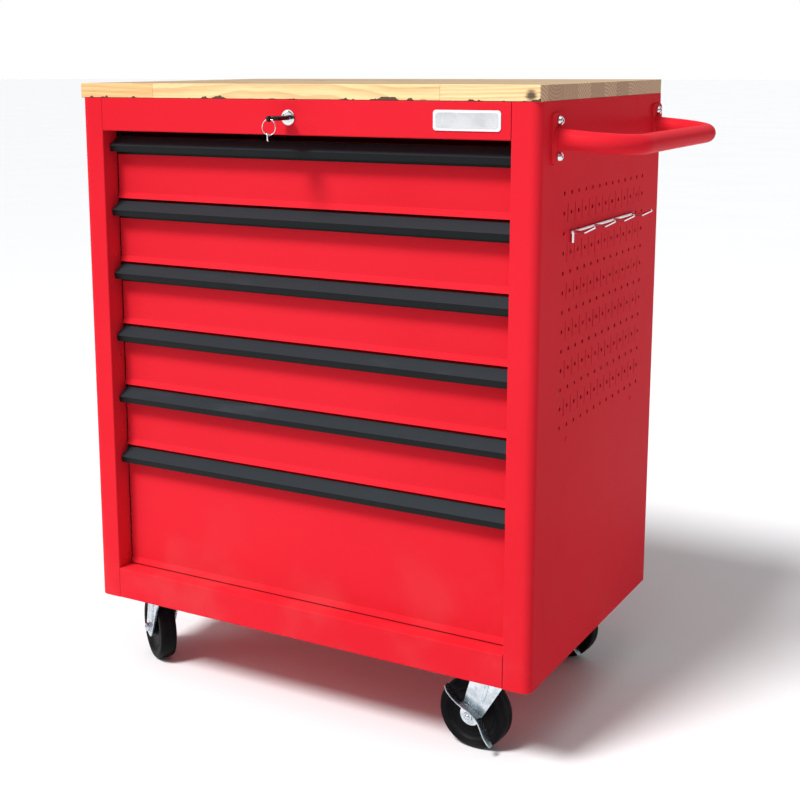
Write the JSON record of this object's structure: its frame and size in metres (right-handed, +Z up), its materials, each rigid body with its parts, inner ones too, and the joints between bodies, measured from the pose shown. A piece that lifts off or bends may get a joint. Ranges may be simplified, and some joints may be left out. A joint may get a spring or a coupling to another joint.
{
  "type": "rolling tool box",
  "caption": "Steel roller cabinet with stacked drawers, black pull strips, wooden worktop, push handle, perforated side and swivel casters.",
  "frame": {"origin": "on the floor, under the centre of the steel cabinet", "axes": "+Z up, drawers open towards -Y, push handle and perforated side on +X"},
  "size_m": [0.8099, 0.506, 0.887],
  "materials": {
    "red_paint": "gloss red powder coat on sheet steel",
    "worktop_wood": "varnished finger-jointed hardwood",
    "black_strip": "satin black pull strip",
    "zinc_plate": "bright zinc plate on pressed steel",
    "chrome": "polished chrome",
    "black_plastic": "black moulded key bow",
    "black_rubber": "black moulded wheel",
    "badge_enamel": "plain plate with no mark"
  },
  "bodies": {
    "cabinet": {"worktop": "worktop_wood", "front_post_left": "red_paint", "front_post_right": "red_paint", "side_panel_left": "red_paint", "side_panel_right": "red_paint", "back_panel": "red_paint", "bottom_rail": "red_paint", "top_rail": "red_paint", "top_panel": "red_paint", "floor_panel": "red_paint", "slide_uprights": "zinc_plate", "cabinet_slides": "zinc_plate", "lock_case": "chrome", "badge": "badge_enamel", "push_handle": "red_paint", "handle_bolts": "chrome", "hook_rack": "chrome", "caster_plates": "zinc_plate"},
    "drawer_1": {"drawer_1_tray": "red_paint", "drawer_1_front": "red_paint", "drawer_1_pull": "black_strip", "drawer_1_glides": "zinc_plate"},
    "drawer_2": {"drawer_2_tray": "red_paint", "drawer_2_front": "red_paint", "drawer_2_pull": "black_strip", "drawer_2_glides": "zinc_plate"},
    "drawer_3": {"drawer_3_tray": "red_paint", "drawer_3_front": "red_paint", "drawer_3_pull": "black_strip", "drawer_3_glides": "zinc_plate"},
    "drawer_4": {"drawer_4_tray": "red_paint", "drawer_4_front": "red_paint", "drawer_4_pull": "black_strip", "drawer_4_glides": "zinc_plate"},
    "drawer_5": {"drawer_5_tray": "red_paint", "drawer_5_front": "red_paint", "drawer_5_pull": "black_strip", "drawer_5_glides": "zinc_plate"},
    "drawer_6": {"drawer_6_tray": "red_paint", "drawer_6_front": "red_paint", "drawer_6_pull": "black_strip", "drawer_6_glides": "zinc_plate"},
    "lock_plug": {"lock_plug": "chrome", "key": "black_plastic"},
    "lock_bar": {"lock_bar": "zinc_plate"},
    "key_ring": {"key_ring_tag": "chrome"},
    "caster_front_left_swivel": {"caster_front_left_fork": "zinc_plate", "caster_front_left_axle": "zinc_plate"},
    "caster_front_left_wheel": {"caster_front_left_wheel": "black_rubber"},
    "caster_front_right_swivel": {"caster_front_right_fork": "zinc_plate", "caster_front_right_axle": "zinc_plate"},
    "caster_front_right_wheel": {"caster_front_right_wheel": "black_rubber"},
    "caster_front_right_pedal": {"caster_front_right_pedal": "zinc_plate"},
    "caster_rear_left_swivel": {"caster_rear_left_fork": "zinc_plate", "caster_rear_left_axle": "zinc_plate"},
    "caster_rear_left_wheel": {"caster_rear_left_wheel": "black_rubber"},
    "caster_rear_right_swivel": {"caster_rear_right_fork": "zinc_plate", "caster_rear_right_axle": "zinc_plate"},
    "caster_rear_right_wheel": {"caster_rear_right_wheel": "black_rubber"},
    "caster_rear_right_pedal": {"caster_rear_right_pedal": "zinc_plate"}
  },
  "joints": [
    {"name": "drawer_1_slide", "type": "slide", "parent": "cabinet", "child": "drawer_1", "axis": [0, -1, 0], "range_m": [0, 0.3]},
    {"name": "drawer_2_slide", "type": "slide", "parent": "cabinet", "child": "drawer_2", "axis": [0, -1, 0], "range_m": [0, 0.3]},
    {"name": "drawer_3_slide", "type": "slide", "parent": "cabinet", "child": "drawer_3", "axis": [0, -1, 0], "range_m": [0, 0.3]},
    {"name": "drawer_4_slide", "type": "slide", "parent": "cabinet", "child": "drawer_4", "axis": [0, -1, 0], "range_m": [0, 0.3]},
    {"name": "drawer_5_slide", "type": "slide", "parent": "cabinet", "child": "drawer_5", "axis": [0, -1, 0], "range_m": [0, 0.3]},
    {"name": "drawer_6_slide", "type": "slide", "parent": "cabinet", "child": "drawer_6", "axis": [0, -1, 0], "range_m": [0, 0.3]},
    {"name": "lock_bar_lift", "type": "slide", "parent": "cabinet", "child": "lock_bar", "axis": [0, 0, 1], "range_m": [0, 0.00707]},
    {"name": "lock_turn", "type": "hinge", "parent": "cabinet", "child": "lock_plug", "pos_m": [0, -0.2275, 0.844], "axis": [0, -1, 0], "range_deg": [0, 90]},
    {"name": "key_ring_swing", "type": "hinge", "parent": "lock_plug", "child": "key_ring", "pos_m": [0, -0.2745, 0.844], "axis": [1, 0, 0], "range_deg": [-70, 10]},
    {"name": "caster_front_left_turn", "type": "hinge", "parent": "cabinet", "child": "caster_front_left_swivel", "pos_m": [-0.278, -0.1655, 0.122], "axis": [0, 0, 1], "continuous": true},
    {"name": "caster_front_left_roll", "type": "hinge", "parent": "caster_front_left_swivel", "child": "caster_front_left_wheel", "pos_m": [-0.30227, -0.14787, 0.05], "axis": [0.5878, 0.809, 0], "continuous": true},
    {"name": "caster_front_right_turn", "type": "hinge", "parent": "cabinet", "child": "caster_front_right_swivel", "pos_m": [0.278, -0.1655, 0.122], "axis": [0, 0, 1], "continuous": true},
    {"name": "caster_front_right_roll", "type": "hinge", "parent": "caster_front_right_swivel", "child": "caster_front_right_wheel", "pos_m": [0.24804, -0.16393, 0.05], "axis": [0.0523, 0.9986, 0], "continuous": true},
    {"name": "caster_front_right_brake", "type": "hinge", "parent": "caster_front_right_swivel", "child": "caster_front_right_pedal", "pos_m": [0.24804, -0.16393, 0.05], "axis": [-0.0523, -0.9986, 0], "range_deg": [0, 16]},
    {"name": "caster_rear_left_turn", "type": "hinge", "parent": "cabinet", "child": "caster_rear_left_swivel", "pos_m": [-0.278, 0.1655, 0.122], "axis": [0, 0, 1], "continuous": true},
    {"name": "caster_rear_left_roll", "type": "hinge", "parent": "caster_rear_left_swivel", "child": "caster_rear_left_wheel", "pos_m": [-0.30711, 0.15824, 0.05], "axis": [-0.2419, 0.9703, 0], "continuous": true},
    {"name": "caster_rear_right_turn", "type": "hinge", "parent": "cabinet", "child": "caster_rear_right_swivel", "pos_m": [0.278, 0.1655, 0.122], "axis": [0, 0, 1], "continuous": true},
    {"name": "caster_rear_right_roll", "type": "hinge", "parent": "caster_rear_right_swivel", "child": "caster_rear_right_wheel", "pos_m": [0.24811, 0.16811, 0.05], "axis": [0.0872, 0.9962, 0], "continuous": true},
    {"name": "caster_rear_right_brake", "type": "hinge", "parent": "caster_rear_right_swivel", "child": "caster_rear_right_pedal", "pos_m": [0.24811, 0.16811, 0.05], "axis": [-0.0872, -0.9962, 0], "range_deg": [0, 16]}
  ],
  "couplings": [
    {"joint": "lock_turn", "follows": "lock_bar_lift", "rad_per_m": 222.14}
  ]
}
